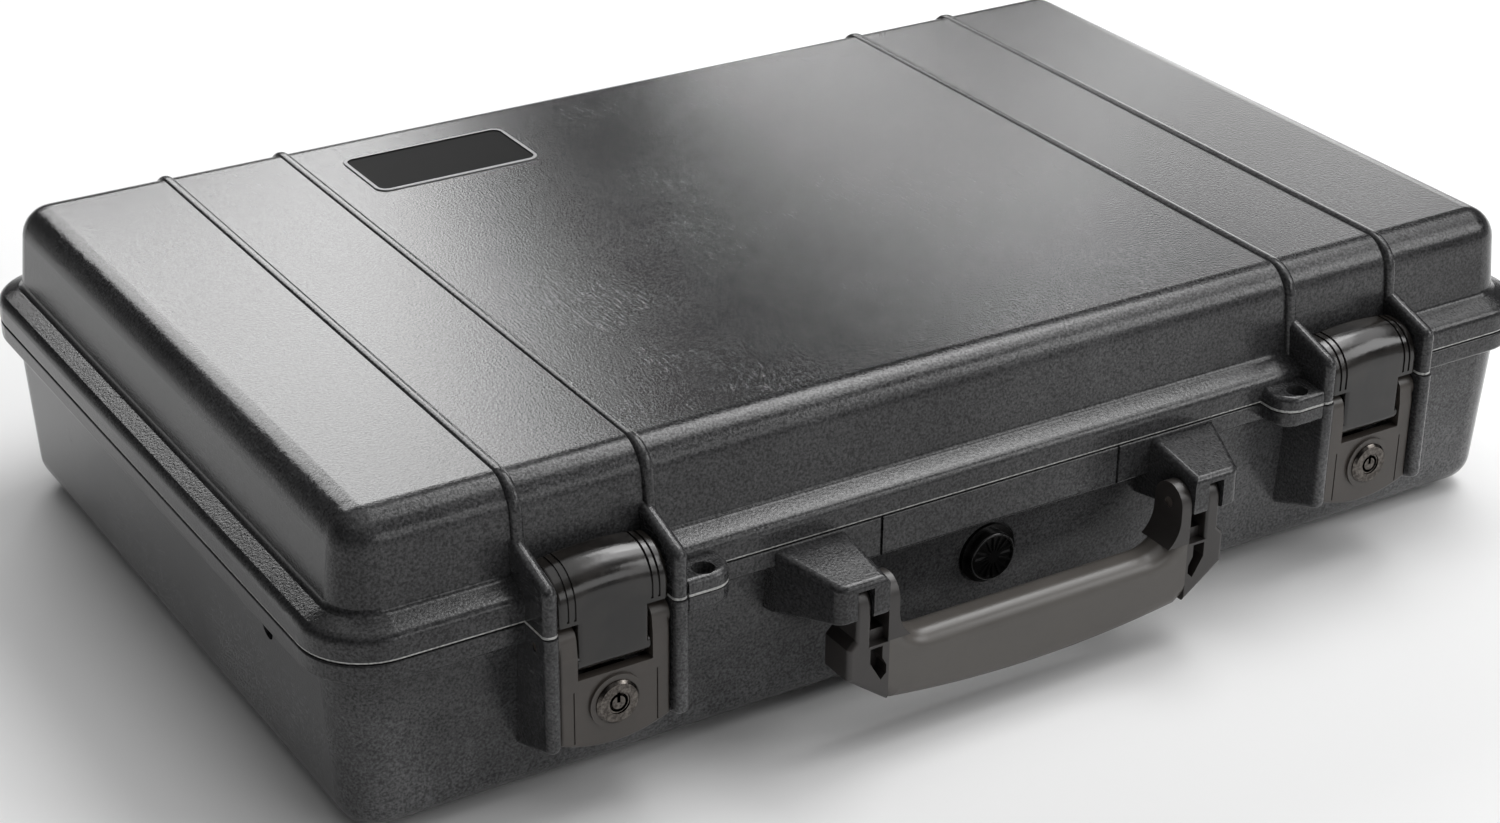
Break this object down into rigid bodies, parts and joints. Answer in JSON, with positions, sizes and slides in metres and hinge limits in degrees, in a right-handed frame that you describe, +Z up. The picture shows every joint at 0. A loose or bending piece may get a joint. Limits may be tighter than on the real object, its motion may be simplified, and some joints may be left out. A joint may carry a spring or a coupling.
{
  "type": "laptop hard case",
  "caption": "Hard moulded laptop case with a hinged lid, locking draw latches, a swinging front handle, a pressure vent and a foam pocket.",
  "frame": {"origin": "bottom centre of the closed case's box, on the plane its feet stand on", "axes": "+X along the length, to the right of someone facing the latches; -Y towards the front with the latches and the handle; +Z up"},
  "size_m": [0.508, 0.3538, 0.1186],
  "materials": {
    "shell_plastic": "charcoal polypropylene with a fine leathery grain",
    "latch_plastic": "glossy near-black moulding",
    "lever_plastic": "satin black moulding",
    "handle_plastic": "satin charcoal moulding",
    "grip_plastic": "satin warm grey overmould",
    "vent_plastic": "glossy black moulding",
    "lock_steel": "darkened polished steel",
    "pin_steel": "drawn stainless steel",
    "seal_rubber": "matt black rubber",
    "label_metal": "black printed plate with a bare silver border, no text",
    "foam": "open-cell charcoal foam"
  },
  "bodies": {
    "base": {"base_shell": "shell_plastic", "handle_pins": "pin_steel", "vent_body": "vent_plastic", "vent_cap": "vent_plastic", "vent_membrane": "seal_rubber", "vent_gasket": "seal_rubber", "vent_nut": "vent_plastic", "left_hinge_pin": "pin_steel", "right_hinge_pin": "pin_steel", "base_foam_pad": "foam", "foam_front_wall": "foam", "foam_back_wall": "foam", "left_foam_end_wall": "foam", "right_foam_end_wall": "foam", "left_base_padlock_tab": "shell_plastic", "right_base_padlock_tab": "shell_plastic"},
    "lid": {"lid_shell": "shell_plastic", "seal_ring": "seal_rubber", "label_plate": "label_metal", "lid_foam": "foam", "left_lid_padlock_tab": "shell_plastic", "right_lid_padlock_tab": "shell_plastic"},
    "handle": {"handle_frame": "handle_plastic", "handle_grip": "grip_plastic"},
    "left_lever": {"left_latch_lever": "lever_plastic", "left_lever_pins": "pin_steel", "left_claw_pin": "pin_steel", "left_lock_barrel": "lock_steel", "left_lock_nut": "lock_steel"},
    "left_claw": {"left_latch_claw": "latch_plastic"},
    "left_lock": {"left_lock_plug": "lock_steel", "left_lock_cam": "lock_steel"},
    "right_lever": {"right_latch_lever": "lever_plastic", "right_lever_pins": "pin_steel", "right_claw_pin": "pin_steel", "right_lock_barrel": "lock_steel", "right_lock_nut": "lock_steel"},
    "right_claw": {"right_latch_claw": "latch_plastic"},
    "right_lock": {"right_lock_plug": "lock_steel", "right_lock_cam": "lock_steel"}
  },
  "joints": [
    {"name": "lid_hinge", "type": "hinge", "parent": "base", "child": "lid", "pos_m": [0, 0.1715, 0.0736], "axis": [-1, 0, 0], "range_deg": [0, 100]},
    {"name": "handle_swing", "type": "hinge", "parent": "base", "child": "handle", "pos_m": [0, -0.1684, 0.057], "axis": [-1, 0, 0], "range_deg": [-15, 90]},
    {"name": "left_lever_lift", "type": "hinge", "parent": "base", "child": "left_lever", "pos_m": [-0.16025, -0.1561, 0.068], "axis": [-1, 0, 0], "range_deg": [0, 90]},
    {"name": "left_claw_swing", "type": "hinge", "parent": "left_lever", "child": "left_claw", "pos_m": [-0.16025, -0.1572, 0.0595], "axis": [-1, 0, 0], "range_deg": [-103.5, 0]},
    {"name": "left_lock_turn", "type": "hinge", "parent": "left_lever", "child": "left_lock", "pos_m": [-0.16025, -0.1625, 0.0426], "axis": [0, 1, 0], "range_deg": [0, 90]},
    {"name": "right_lever_lift", "type": "hinge", "parent": "base", "child": "right_lever", "pos_m": [0.16025, -0.1561, 0.068], "axis": [-1, 0, 0], "range_deg": [0, 90]},
    {"name": "right_claw_swing", "type": "hinge", "parent": "right_lever", "child": "right_claw", "pos_m": [0.16025, -0.1572, 0.0595], "axis": [-1, 0, 0], "range_deg": [-103.5, 0]},
    {"name": "right_lock_turn", "type": "hinge", "parent": "right_lever", "child": "right_lock", "pos_m": [0.16025, -0.1625, 0.0426], "axis": [0, 1, 0], "range_deg": [0, 90]}
  ],
  "couplings": [
    {"joint": "left_claw_swing", "follows": "left_lever_lift", "ratio": -1.15},
    {"joint": "right_claw_swing", "follows": "right_lever_lift", "ratio": -1.15}
  ]
}
